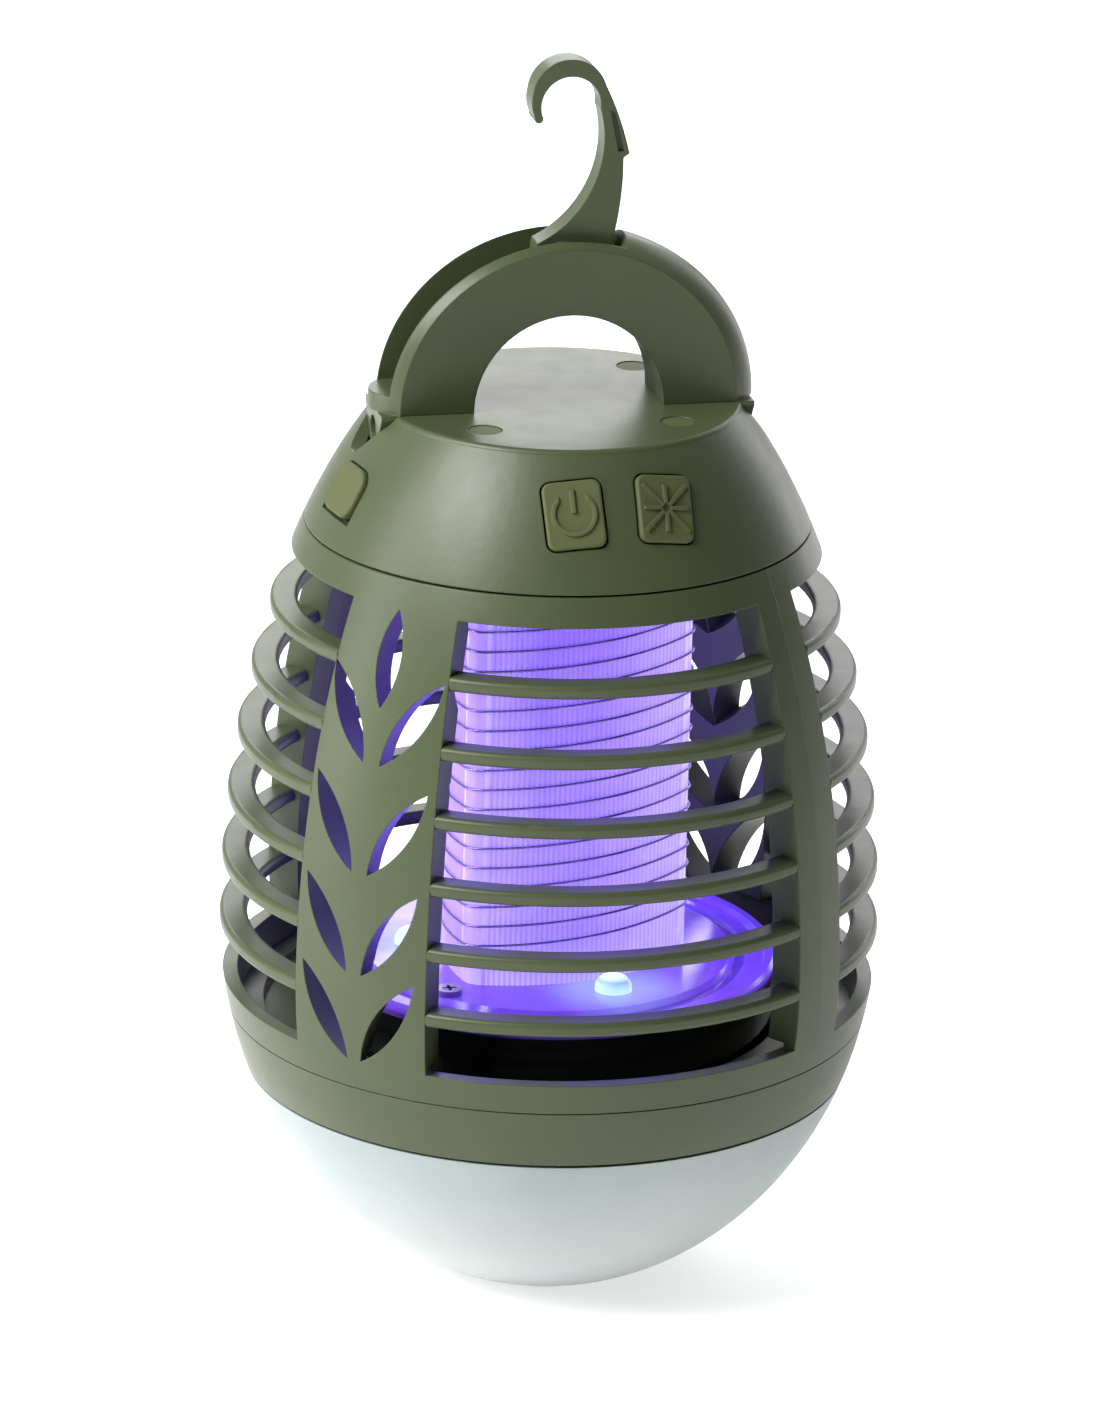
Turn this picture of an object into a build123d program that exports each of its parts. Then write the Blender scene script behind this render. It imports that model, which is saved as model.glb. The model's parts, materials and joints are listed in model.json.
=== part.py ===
"""Rechargeable camping bug zapper: an egg-shaped guard cage with a lantern
lens below, and a lift-out head with the ultraviolet column and live wires.

Millimetres, +Z up. The origin is the centre of the flat foot, the handle's
arch stands in the XZ plane and the two keys face -Y. Azimuths are degrees
counter-clockwise seen from above, counted from the -Y front.
"""
from build123d import *
from math import atan2, cos, degrees, pi, radians, sin, sqrt
import os

# ---- driving dimensions -------------------------------------------------
WIDEST_R = 45.2            # the body is an egg: two half ellipses turned about Z
WIDEST_Z = 49.6
UPPER_HALF = 87.5          # semi-height of the ellipse above the widest line
LOWER_HALF = 52.2          # and below it
LENS_TOP = 28.7            # joint lines of the body, from the foot up
RING_TOP = 37.5
CAGE_TOP = 106.45
CAP_BOTTOM = 106.75
CAP_TOP = 123.6

SLOT_LOW = 41.7            # seven slots and six slats fill the cage windows
SLOT_HEIGHT = 7.0
SLAT_THICK = 2.0
SLAT_COUNT = 6
SLAT_DEPTH = 3.8
SLOT_HIGH = SLOT_LOW + (SLAT_COUNT + 1) * SLOT_HEIGHT + SLAT_COUNT * SLAT_THICK
PILLAR_DEPTH = 4.8
PASS_R = 32.1              # the head lifts out through this opening

# window edges (start, end), the rear pair half a turn after the front pair
WINDOWS = {"front": (-33.8, 35.5), "right": (47.6, 118.9),
           "rear": (146.2, 215.5), "left": (227.6, 298.9)}
SPLIT_AZIMUTH = 41.55      # the two cage halves meet on the narrow pillars
LEAF_PILLARS = (-47.8, 132.2)

HANDLE_IN_R = 13.0
HANDLE_DEPTH = 11.0
HANDLE_FACE = (23.1, 22.0)     # half width and height of the arch's flat faces
HANDLE_CROWN = (26.4, 24.0)    # the same on its middle line, where it is crowned
HANDLE_WALL = 1.3
CHANNEL_FLOOR_R = 14.6
HOOK_PIN = (-0.5, CAP_TOP + 19.3)
HOOK_THICK = 3.8
PIN_R = 1.2

COLUMN_VERTEX = 15.67      # column section: a Reuleaux triangle grown outwards
COLUMN_GROW = 3.03
COLUMN_WALL = 1.2
COLUMN_LOW = 44.9
COLUMN_HIGH = 104.6
COLUMN_TURN = -17.0        # turns the corners to azimuths 73, 193 and 313
DISH_R = 31.5
DRUM_R = 31.3
DRUM_LOW = 30.0

WIRE_R = 0.25
WIRE_PITCH = 5.6
WIRE_LOW = 48.0
WIRE_LOOPS = 10

CAP_WALL = 2.0
KEYS = {"power_key": (-8.7, 6.0), "light_key": (15.9, -9.0)}   # azimuth and lean
KEY_Z = 116.3
KEY_SIZE = (7.8, 9.2)
KEY_CORNER = 1.2
USB_AZIMUTH = -80.0
USB_Z = 113.7
USB_SIZE = (8.6, 7.0)
USB_CORNER = 2.3
USB_PIVOT_DEPTH = 0.25
USB_PIVOT_RISE = 0.7         # from the cover's lower edge up to the line it turns on
USB_SWING_R = 1.15           # room for that edge to swing in
CLEAR = 0.25               # gap round keys, covers and inlays

os.makedirs("parts", exist_ok=True)


# ---- shared geometry ----------------------------------------------------
def egg_radius(z):
    """Outer radius of the body at height z."""
    half_height = UPPER_HALF if z > WIDEST_Z else LOWER_HALF
    return WIDEST_R * sqrt(1 - ((z - WIDEST_Z) / half_height) ** 2)


def egg_tilt(z):
    """Degrees by which the body's outward normal looks up at height z."""
    slope = (WIDEST_R / UPPER_HALF) ** 2 * (z - WIDEST_Z) / egg_radius(z)
    return degrees(atan2(slope, 1))


def at(azimuth, radius):
    """X and Y of a point at an azimuth and a distance from the axis."""
    return radius * sin(radians(azimuth)), -radius * cos(radians(azimuth))


def skin_plane(azimuth, z, depth=0.0, lean=0.0):
    """Plane on the body's skin: x runs round it, y up it, z outwards, turned by lean."""
    tilt = radians(egg_tilt(z))
    side = at(azimuth, 1.0)
    out = Vector(side[0] * cos(tilt), side[1] * cos(tilt), sin(tilt))
    run = Vector(-side[1], side[0], 0)
    point = Vector(*at(azimuth, egg_radius(z)), z) - out * depth
    x_dir = run * cos(radians(lean)) + out.cross(run) * sin(radians(lean))
    return Plane(origin=point, x_dir=x_dir, z_dir=out)


def heights(low, high, steps=8):
    return [low + (high - low) * i / steps for i in range(steps + 1)]


def band(low, high, wall):
    """Half section of the body's wall between two heights, for Plane.XZ."""
    with BuildSketch() as section:
        with BuildLine():
            Spline(*[(egg_radius(z), z) for z in heights(low, high)])
            Spline(*[(egg_radius(z) - wall, z) for z in heights(low, high)])
            Line((egg_radius(low) - wall, low), (egg_radius(low), low))
            Line((egg_radius(high) - wall, high), (egg_radius(high), high))
        make_face()
    return section.sketch


def wedge(start, end, radius=60.0):
    """Sector of a disc between two azimuths, corner on the axis."""
    count = max(2, int((end - start) / 40) + 2)
    rim = [at(start + (end - start) * i / (count - 1), radius) for i in range(count)]
    with BuildSketch() as sector:
        with BuildLine():
            Polyline((0, 0), *rim, close=True)
        make_face()
    return sector.sketch


def save(part, name):
    part.label = name
    export_step(part, f"parts/{name}.step")


# ---- guard: cage halves, slats, base ring, lens -------------------------
def leaf(width, length):
    """Pointed leaf: two arcs between its tips."""
    with BuildSketch() as outline:
        with BuildLine():
            ThreePointArc((0, -length / 2), (width / 2, 0), (0, length / 2))
            ThreePointArc((0, -length / 2), (-width / 2, 0), (0, length / 2))
        make_face()
    return outline.sketch


# each pillar carries one upright leaf over four pairs that lean outwards
TOP_LEAF_Z = 96.5
PAIR_HEIGHTS = (88.75, 74.15, 60.25, 47.95)
PAIR_SIDE = 5.15
PAIR_LEAN = 33.0
LEAF_WIDTH = 3.5
TOP_LEAF_LENGTH = 13.0
PAIR_LEAF_LENGTH = 14.2
LEAVES = [(0.0, TOP_LEAF_Z, 0.0, TOP_LEAF_LENGTH)]
LEAVES += [(side * PAIR_SIDE, z, -side * PAIR_LEAN, PAIR_LEAF_LENGTH)
           for side in (-1, 1) for z in PAIR_HEIGHTS]


LEAF_FLARE = -9.0          # the leaves open out towards the inside
LOW_WALL = 2.0             # the ring below the windows is thinner than the pillars


def cage_half(name, start, pillar):
    """Half of the cage: two half rings and its pillars, windows left open."""
    with BuildPart() as half:
        with BuildSketch(Plane.XZ):
            add(band(RING_TOP, CAGE_TOP, PILLAR_DEPTH))
        revolve(axis=Axis.Z)
        with BuildSketch(Plane.XY.offset(CAGE_TOP)):
            Circle(PASS_R)
        extrude(amount=-25.0, mode=Mode.SUBTRACT)
        with BuildSketch(Plane.XY):
            add(wedge(start, start + 180.0, 120.0))
        extrude(amount=CAP_TOP, mode=Mode.INTERSECT)
        for low, high in WINDOWS.values():
            with BuildSketch(Plane.XY.offset(SLOT_LOW)):
                add(wedge(low, high))
            extrude(amount=SLOT_HIGH - SLOT_LOW, mode=Mode.SUBTRACT)
        for side, z, lean, length in LEAVES:
            turn = pillar + degrees(side / egg_radius(z))
            with BuildSketch(skin_plane(turn, z, -0.4, lean)):
                add(leaf(LEAF_WIDTH, length))
            extrude(amount=-8.0, taper=LEAF_FLARE, mode=Mode.SUBTRACT)
        low, high = RING_TOP - 0.5, SLOT_LOW + 0.6
        with BuildSketch(Plane.XZ):
            with BuildLine():
                Polyline((egg_radius(low) - LOW_WALL, low), (egg_radius(high) - LOW_WALL, high),
                         (PASS_R, high), (PASS_R, low), close=True)
            make_face()
        revolve(axis=Axis.Z, mode=Mode.SUBTRACT)
    save(half.part, name)


def slats(name, start, end):
    """The six slats across one window, outer edges on the body's skin."""
    with BuildPart() as group:
        with BuildSketch(Plane.XZ):
            for i in range(SLAT_COUNT):
                low = SLOT_LOW + SLOT_HEIGHT + i * (SLOT_HEIGHT + SLAT_THICK)
                middle = egg_radius(low + SLAT_THICK / 2)
                with Locations((middle - SLAT_DEPTH / 2, low + SLAT_THICK / 2)):
                    RectangleRounded(SLAT_DEPTH, SLAT_THICK, 0.7)
        revolve(axis=Axis.Z)
        with BuildSketch(Plane.XY):
            add(wedge(start, end))
        extrude(amount=CAP_TOP, mode=Mode.INTERSECT)
    save(group.part, name)


cage_half("cage_half_front", SPLIT_AZIMUTH - 180.0, LEAF_PILLARS[0])
cage_half("cage_half_rear", SPLIT_AZIMUTH, LEAF_PILLARS[1])
for window, (low, high) in WINDOWS.items():
    slats(f"slats_{window}", low, high)

with BuildPart() as base_ring:
    with BuildSketch(Plane.XZ):
        add(band(LENS_TOP + 0.4, RING_TOP - 0.15, 2.4))
    revolve(axis=Axis.Z)
    with BuildSketch(Plane.XZ):
        with BuildLine():
            Polyline((PASS_R, 34.6), (41.2, 34.6), (41.6, RING_TOP - 0.15),
                     (39.0, RING_TOP - 0.15), (39.0, 36.2), (PASS_R, 36.2), close=True)
        make_face()
    revolve(axis=Axis.Z)
save(base_ring.part, "base_ring")

with BuildPart() as lens_dome:
    with BuildSketch(Plane.XZ):
        with BuildLine():
            foot_r = egg_radius(0)
            skin = heights(0.0, LENS_TOP, 10)
            Line((0, 0), (foot_r, 0))
            Spline(*[(egg_radius(z), z) for z in skin])
            Polyline((egg_radius(LENS_TOP), LENS_TOP), (38.7, LENS_TOP), (38.7, 31.4),
                     (37.1, 31.4), (37.1, 27.0))
            Spline((37.1, 27.0), (34.6, 20.0), (29.0, 12.0), (21.0, 5.2), (12.5, 2.0))
            Polyline((12.5, 2.0), (0, 2.0), (0, 0))
        make_face()
    revolve(axis=Axis.Z)
save(lens_dome.part, "lens_dome")

with BuildPart() as lens_gasket:
    with BuildSketch(Plane.XY.offset(LENS_TOP)):
        Circle(40.8)
        Circle(39.1, mode=Mode.SUBTRACT)
    extrude(amount=0.4)
save(lens_gasket.part, "lens_gasket")


# ---- cap ----------------------------------------------------------------
LUG_HOLE_Z = 120.4
LUG_TIP = (2.4, 2.8)       # half width of its round tip, and drop below the screw
LUG_NECK = 2.6             # height above the screw where it is as wide as the arch
LUG_INSIDE = 22.6
LUG_OUTSIDE = 25.6
LUG_RECESS = 30.0          # the cap's recess for a lug is open to the outside
CAP_SCREW_R = 18.6
CAP_SCREW_AZIMUTHS = (45.0, 135.0, 225.0, 315.0)
SIDES = (-1, 1)


def side_plane(side, distance):
    """Upright plane at a lug's screw, facing out to one side."""
    return Plane(origin=(side * distance, 0, LUG_HOLE_Z), x_dir=(0, side, 0), z_dir=(side, 0, 0))


def lug_tabs(gap, outside):
    """Tabs that reach down over the cap's shoulder at both ends of the handle."""
    wide, narrow = HANDLE_DEPTH / 2 + gap, LUG_TIP[0] + gap
    top = CAP_TOP - LUG_HOLE_Z + 10 * gap
    bend, tip = 1.2 - LUG_TIP[1], -LUG_TIP[1] - gap
    with BuildPart() as tabs:
        for side in SIDES:
            with BuildSketch(side_plane(side, LUG_INSIDE - gap)):
                with BuildLine():
                    Polyline((-narrow, bend), (-wide, LUG_NECK), (-wide, top), (wide, top),
                             (wide, LUG_NECK), (narrow, bend))
                    ThreePointArc((narrow, bend), (0, tip), (-narrow, bend))
                make_face()
            extrude(amount=outside - LUG_INSIDE + gap)
    return tabs.part


usb_skin = skin_plane(USB_AZIMUTH, USB_Z, USB_PIVOT_DEPTH)
usb_pivot = Plane(origin=usb_skin.from_local_coords(Vector(0, USB_PIVOT_RISE - USB_SIZE[1] / 2, 0)),
                  x_dir=usb_skin.z_dir, z_dir=usb_skin.x_dir)

with BuildPart() as cap_shell:
    with BuildSketch(Plane.XZ):
        with BuildLine():
            skin = heights(CAP_BOTTOM, CAP_TOP - 0.6)
            Spline(*[(egg_radius(z), z) for z in skin])
            rim = egg_radius(CAP_TOP - 0.6)
            ThreePointArc((rim, CAP_TOP - 0.6), (rim - 0.35, CAP_TOP - 0.1), (rim - 0.9, CAP_TOP))
            inside = heights(CAP_BOTTOM, CAP_TOP - CAP_WALL)
            Polyline((rim - 0.9, CAP_TOP), (0, CAP_TOP), (0, CAP_TOP - CAP_WALL),
                     (egg_radius(inside[-1]) - CAP_WALL, inside[-1]))
            Spline(*[(egg_radius(z) - CAP_WALL, z) for z in inside])
            Line((egg_radius(CAP_BOTTOM) - CAP_WALL, CAP_BOTTOM), (egg_radius(CAP_BOTTOM), CAP_BOTTOM))
        make_face()
    revolve(axis=Axis.Z)
    with BuildSketch(Plane.XY.offset(CAP_TOP - CAP_WALL)):
        for azimuth in CAP_SCREW_AZIMUTHS:
            with Locations(at(azimuth, CAP_SCREW_R)):
                Circle(3.2)
    extrude(amount=-12.4)
    with BuildSketch(Plane.XY.offset(CAP_TOP)):
        for azimuth in CAP_SCREW_AZIMUTHS:
            with Locations(at(azimuth, CAP_SCREW_R)):
                Circle(2.3)
    extrude(amount=-3.4, mode=Mode.SUBTRACT)
    with BuildSketch(Plane.XY.offset(CAP_TOP)):
        for azimuth in CAP_SCREW_AZIMUTHS:
            with Locations(at(azimuth, CAP_SCREW_R)):
                Circle(1.1)
    extrude(amount=-20.0, mode=Mode.SUBTRACT)
    for azimuth, lean in KEYS.values():
        with BuildSketch(skin_plane(azimuth, KEY_Z, -1.0, lean)):
            RectangleRounded(KEY_SIZE[0] + 2 * CLEAR, KEY_SIZE[1] + 2 * CLEAR, KEY_CORNER + CLEAR)
        extrude(amount=-5.0, mode=Mode.SUBTRACT)
    with BuildSketch(skin_plane(USB_AZIMUTH, USB_Z, 1.15)):
        RectangleRounded(USB_SIZE[0] + 2 * CLEAR, USB_SIZE[1] + 2 * CLEAR, USB_CORNER + CLEAR)
    extrude(amount=3.0, mode=Mode.SUBTRACT)
    with BuildSketch(skin_plane(USB_AZIMUTH, USB_Z, 1.0)):
        RectangleRounded(7.0, 3.6, 1.0)
    extrude(amount=-3.0, mode=Mode.SUBTRACT)
    with BuildSketch(usb_pivot):
        Circle(USB_SWING_R)
    extrude(amount=USB_SIZE[0] / 2 + CLEAR, both=True, mode=Mode.SUBTRACT)
    add(lug_tabs(0.1, LUG_RECESS), mode=Mode.SUBTRACT)
    for side in SIDES:
        with BuildSketch(side_plane(side, LUG_INSIDE)):
            Circle(0.9)
        extrude(amount=-5.0, mode=Mode.SUBTRACT)
save(cap_shell.part, "cap_shell")

with BuildPart() as screw_plugs:
    with BuildSketch(Plane.XY.offset(CAP_TOP - 0.9)):
        for azimuth in CAP_SCREW_AZIMUTHS:
            with Locations(at(azimuth, CAP_SCREW_R)):
                Circle(2.25)
    extrude(amount=0.8)
save(screw_plugs.part, "screw_plugs")

with BuildPart() as cap_screws:
    with BuildSketch(Plane.XY.offset(CAP_TOP - 3.4)):
        for azimuth in CAP_SCREW_AZIMUTHS:
            with Locations(at(azimuth, CAP_SCREW_R)):
                Circle(2.0)
    extrude(amount=1.8)
    with BuildSketch(Plane.XY.offset(CAP_TOP - 3.4)):
        for azimuth in CAP_SCREW_AZIMUTHS:
            with Locations(at(azimuth, CAP_SCREW_R)):
                Circle(1.05)
    extrude(amount=-14.6)
save(cap_screws.part, "cap_screws")


# ---- keys and charging cover --------------------------------------------
def power_symbol():
    """Broken ring with a bar through the gap."""
    Circle(3.05)
    Circle(2.5, mode=Mode.SUBTRACT)
    with Locations((0, 2.6)):
        Rectangle(3.6, 2.4, mode=Mode.SUBTRACT)
    with Locations((0, 1.7)):
        Rectangle(0.6, 3.2)


def light_symbol():
    """Eight rays round a small open centre; the slanting ones are the longest."""
    with PolarLocations(2.5, 4, start_angle=45):
        Rectangle(4.0, 0.55)
    with PolarLocations(1.9, 4):
        Rectangle(2.6, 0.55)


def key(name, symbol):
    """A key with a flange behind the cap's wall and a raised symbol."""
    azimuth, lean = KEYS[name]
    face = skin_plane(azimuth, KEY_Z, -0.35, lean)
    with BuildPart() as piece:
        with BuildSketch(face):
            RectangleRounded(*KEY_SIZE, KEY_CORNER)
        extrude(amount=-4.0)
        fillet(piece.edges().filter_by(lambda e: abs(face.to_local_coords(e.center()).Z) < 1e-3), 0.35)
        with BuildSketch(skin_plane(azimuth, KEY_Z, 2.75, lean)):
            RectangleRounded(KEY_SIZE[0] + 1.6, KEY_SIZE[1] + 1.4, 2.0)
        extrude(amount=-0.8)
        with BuildSketch(face):
            symbol()
        extrude(amount=0.3)
    save(piece.part, name)


key("power_key", power_symbol)
key("light_key", light_symbol)

with BuildPart() as key_switches:
    for azimuth, lean in KEYS.values():
        with BuildSketch(skin_plane(azimuth, KEY_Z, 4.6)):
            Circle(1.2)
        extrude(amount=-1.0)
        with BuildSketch(skin_plane(azimuth, KEY_Z, 5.2)):
            Rectangle(4.5, 4.5)
        extrude(amount=-2.2)
save(key_switches.part, "key_switches")

with BuildPart() as key_boards:
    for azimuth, lean in KEYS.values():
        with BuildSketch(skin_plane(azimuth, KEY_Z, 7.4)):
            Rectangle(5.0, 4.8)
        extrude(amount=-1.0)
save(key_boards.part, "key_boards")

with BuildPart() as usb_cover:
    with BuildSketch(skin_plane(USB_AZIMUTH, USB_Z, 0.95)):
        RectangleRounded(*USB_SIZE, USB_CORNER)
    extrude(amount=1.4)
    with BuildSketch(skin_plane(USB_AZIMUTH, USB_Z, 0.95)):
        RectangleRounded(6.0, 2.4, 0.8)
    extrude(amount=-1.0)
    fillet(usb_cover.edges().filter_by(
        lambda e: abs(skin_plane(USB_AZIMUTH, USB_Z, -0.45).to_local_coords(e.center()).Z) < 1e-3), 0.5)
save(usb_cover.part, "usb_cover")

with BuildPart() as usb_socket:
    with BuildSketch(skin_plane(USB_AZIMUTH, USB_Z, 2.6)):
        RectangleRounded(8.9, 3.2, 1.2)
        RectangleRounded(8.3, 2.6, 1.0, mode=Mode.SUBTRACT)
    extrude(amount=-6.0)
    with BuildSketch(skin_plane(USB_AZIMUTH, USB_Z, 8.0)):
        RectangleRounded(8.3, 2.6, 1.0)
    extrude(amount=-0.6)
save(usb_socket.part, "usb_socket")


# ---- handle and hook ----------------------------------------------------
with BuildPart() as handle:
    for share, (half_width, height) in ((-1, HANDLE_FACE), (0, HANDLE_CROWN), (1, HANDLE_FACE)):
        with BuildSketch(Plane.XZ.offset(share * HANDLE_DEPTH / 2)):
            with Locations((0, CAP_TOP)):
                Ellipse(half_width, height)
    loft()
    with BuildSketch(Plane.XZ):
        with Locations((0, CAP_TOP)):
            Circle(HANDLE_IN_R)
        with Locations((0, CAP_TOP - 20.0)):
            Rectangle(80.0, 40.0)
    extrude(amount=HANDLE_DEPTH, both=True, mode=Mode.SUBTRACT)
    add(lug_tabs(0.0, LUG_OUTSIDE))
    with BuildSketch(Plane.XZ):
        with BuildLine():
            Polyline((0, CAP_TOP), (9.3, CAP_TOP + 26.0), (-32.0, CAP_TOP + 26.0),
                     (-32.0, CAP_TOP + 2.4), (-CHANNEL_FLOOR_R + 0.5, CAP_TOP + 2.4), close=True)
        make_face()
        with Locations((0, CAP_TOP)):
            Circle(CHANNEL_FLOOR_R, mode=Mode.SUBTRACT)
    extrude(amount=HANDLE_DEPTH / 2 - HANDLE_WALL, both=True, mode=Mode.SUBTRACT)
    with BuildSketch(Plane.XZ):
        with Locations(HOOK_PIN):
            Circle(PIN_R)
    extrude(amount=HANDLE_DEPTH / 2 - 0.6, both=True, mode=Mode.SUBTRACT)
    for side in SIDES:
        with BuildSketch(side_plane(side, LUG_OUTSIDE)):
            Circle(1.9)
        extrude(amount=-1.4, mode=Mode.SUBTRACT)
        with BuildSketch(side_plane(side, LUG_OUTSIDE)):
            Circle(1.0)
        extrude(amount=-5.0, mode=Mode.SUBTRACT)
save(handle.part, "handle")

with BuildPart() as handle_screws:
    for side in SIDES:
        with BuildSketch(side_plane(side, LUG_OUTSIDE - 1.4)):
            Circle(1.7)
        extrude(amount=0.8)
        with BuildSketch(side_plane(side, LUG_OUTSIDE - 1.4)):
            Circle(0.85)
        extrude(amount=-6.0)
        with BuildSketch(side_plane(side, LUG_OUTSIDE - 0.6)):
            Rectangle(2.0, 0.45)
            Rectangle(0.45, 2.0)
        extrude(amount=-0.4, mode=Mode.SUBTRACT)
save(handle_screws.part, "handle_screws")

with BuildPart() as hook_pin:
    with BuildSketch(Plane.XZ):
        with Locations(HOOK_PIN):
            Circle(PIN_R)
    extrude(amount=HANDLE_DEPTH / 2 - 0.65, both=True)
save(hook_pin.part, "hook_pin")

HOOK_BASE = (-0.4, CAP_TOP + 0.5)   # the hook's outline is drawn from this point
CURL = (0.6, 40.3)                 # centre of the hook's round mouth
CURL_R = 4.05


def curl_point(angle, radius=CURL_R):
    return CURL[0] + radius * cos(radians(angle)), CURL[1] + radius * sin(radians(angle))


hook_plane = Plane(origin=(HOOK_BASE[0], 0, HOOK_BASE[1]), x_dir=(1, 0, 0), z_dir=(0, -1, 0))

with BuildPart() as hook:
    with BuildSketch(hook_plane):
        with BuildLine():
            start, end = curl_point(200), curl_point(-6)
            ThreePointArc(start, curl_point(97), end)
            ThreePointArc(end, (4.5, 30.9), (-3.6, 21.6))
            ThreePointArc((-3.6, 21.6), (-3.5, 18.6), (-0.5, 15.9))
            Polyline((-0.5, 15.9), (2.6, 16.7), (5.9, 19.6), (6.5, 21.0))
            ThreePointArc((6.5, 21.0), (7.6, 26.8), (7.9, 33.0))
            Line((7.9, 33.0), (8.7, 33.6))
            ThreePointArc((8.7, 33.6), (7.3, 38.4), (5.3, 43.1))
            ThreePointArc((5.3, 43.1), (0.3, 46.7), (-4.6, 42.1))
            ThreePointArc((-4.6, 42.1), (-4.7, 40.3), (-4.3, 38.9))
            ThreePointArc((-4.3, 38.9), (-3.5, 38.2), start)
        make_face()
    extrude(amount=HOOK_THICK / 2, both=True)
    with BuildSketch(Plane.XZ):
        with Locations(HOOK_PIN):
            Circle(3.0)
    extrude(amount=4.0, both=True)
    with BuildSketch(Plane.XZ):
        with Locations(HOOK_PIN):
            Circle(PIN_R + 0.05)
    extrude(amount=6.0, both=True, mode=Mode.SUBTRACT)
    with BuildSketch(hook_plane.offset(HOOK_THICK / 2)):
        with BuildLine():
            Polyline((6.0, 39.6), (6.7, 39.2), (8.0, 33.9), (7.2, 33.9), close=True)
        make_face()
    extrude(amount=-0.6, mode=Mode.SUBTRACT)
save(hook.part, "hook")


# ---- chassis and electronics in the cap ---------------------------------
PLATE_LOW = COLUMN_HIGH
PLATE_TOP = 106.6
SEAL_R = 31.32             # ring of the seal's own centre line, in the plate's groove
SEAL_Z = 105.6
with BuildPart() as chassis_plate:
    with BuildSketch(Plane.XY.offset(PLATE_LOW)):
        Circle(31.7)
    extrude(amount=PLATE_TOP - PLATE_LOW)
    with BuildSketch(Plane.XZ):
        with Locations((SEAL_R + 0.35, SEAL_Z)):
            Rectangle(1.4, 1.6)
    revolve(axis=Axis.Z, mode=Mode.SUBTRACT)
    with BuildSketch(Plane.XY.offset(PLATE_TOP)):
        for azimuth in CAP_SCREW_AZIMUTHS:
            with Locations(at(azimuth, CAP_SCREW_R)):
                Circle(2.8)
                Circle(1.15, mode=Mode.SUBTRACT)
    extrude(amount=2.55)
    with BuildSketch(Plane.XY.offset(PLATE_LOW)):
        for azimuth in CAP_SCREW_AZIMUTHS:
            with Locations(at(azimuth, CAP_SCREW_R)):
                Circle(1.15)
        Circle(4.0)
    extrude(amount=4.0, mode=Mode.SUBTRACT)
save(chassis_plate.part, "chassis_plate")

with BuildPart() as head_seal:
    with BuildSketch(Plane.XZ):
        with Locations((SEAL_R, SEAL_Z)):
            Circle(0.7)
    revolve(axis=Axis.Z)
    with BuildSketch(Plane.XY):
        Circle(31.0)
    extrude(amount=CAP_TOP, mode=Mode.SUBTRACT)
save(head_seal.part, "head_seal")

with BuildPart() as control_board:
    with BuildSketch(Plane.XY.offset(107.6)):
        with Locations((0, 2.0)):
            Rectangle(20.0, 30.0)
    extrude(amount=1.4)
save(control_board.part, "control_board")

with BuildPart() as control_chips:
    with BuildSketch(Plane.XY.offset(109.0)):
        with Locations((-5.0, -6.5), (4.5, -7.5)):
            Rectangle(5.0, 4.0)
        with GridLocations(3.2, 0, 4, 1):
            Rectangle(1.6, 0.9)
    extrude(amount=1.3)
save(control_chips.part, "control_chips")

with BuildPart() as hv_transformer:
    with BuildSketch(Plane.XY.offset(109.0)):
        with Locations((-3.4, 9.0)):
            RectangleRounded(11.0, 12.0, 1.0)
    extrude(amount=8.5)
    with BuildSketch(Plane.XY.offset(117.5)):
        with Locations((-3.4, 9.0)):
            Rectangle(7.0, 8.0)
    extrude(amount=1.2)
save(hv_transformer.part, "hv_transformer")

with BuildPart() as hv_capacitor:
    with BuildSketch(Plane.XY.offset(109.0)):
        with Locations((6.0, 9.0)):
            Circle(3.2)
    extrude(amount=10.5)
save(hv_capacitor.part, "hv_capacitor")


# ---- column with its live wires -----------------------------------------
COLUMN_SIDE_R = COLUMN_VERTEX * sqrt(3) + COLUMN_GROW


def corner_spot(turn):
    """Centre of the column's corner that faces turn degrees from the first."""
    angle = radians(COLUMN_TURN + turn)
    return COLUMN_VERTEX * cos(angle), COLUMN_VERTEX * sin(angle)


def column_section(out):
    """The column's closed outline, grown or shrunk by out."""
    with BuildSketch() as section:
        with BuildLine():
            for turn in (0, 120, 240):
                facing = COLUMN_TURN + turn
                CenterArc(corner_spot(turn), COLUMN_GROW + out, facing - 30, 60)
                CenterArc(corner_spot(turn + 240), COLUMN_SIDE_R + out, facing + 30, 60)
        make_face()
    return section.sketch


COLLAR_LOW = 102.4
post_spots = [corner_spot(turn) for turn in (0, 120, 240)]

with BuildPart() as uv_column:
    with BuildSketch(Plane.XY.offset(COLUMN_LOW)):
        add(column_section(0.0))
    extrude(amount=COLLAR_LOW - COLUMN_LOW)
    with BuildSketch(Plane.XY.offset(COLUMN_LOW)):
        add(column_section(-COLUMN_WALL))
    extrude(amount=COLLAR_LOW - COLUMN_LOW, mode=Mode.SUBTRACT)
    with BuildSketch(Plane.XY.offset(COLUMN_LOW)):
        with Locations(*post_spots):
            Circle(COLUMN_GROW + 0.05)
    extrude(amount=COLLAR_LOW - COLUMN_LOW, mode=Mode.SUBTRACT)
save(uv_column.part, "uv_column")

with BuildPart() as corner_posts:
    with BuildSketch(Plane.XY.offset(COLUMN_LOW)):
        with Locations(*post_spots):
            Circle(COLUMN_GROW)
    extrude(amount=COLLAR_LOW - COLUMN_LOW)
save(corner_posts.part, "corner_posts")

with BuildPart() as column_collar:
    with BuildSketch(Plane.XY.offset(COLLAR_LOW)):
        add(column_section(1.4))
        Circle(10.5, mode=Mode.SUBTRACT)
    extrude(amount=COLUMN_HIGH - COLLAR_LOW)
save(column_collar.part, "column_collar")


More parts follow.
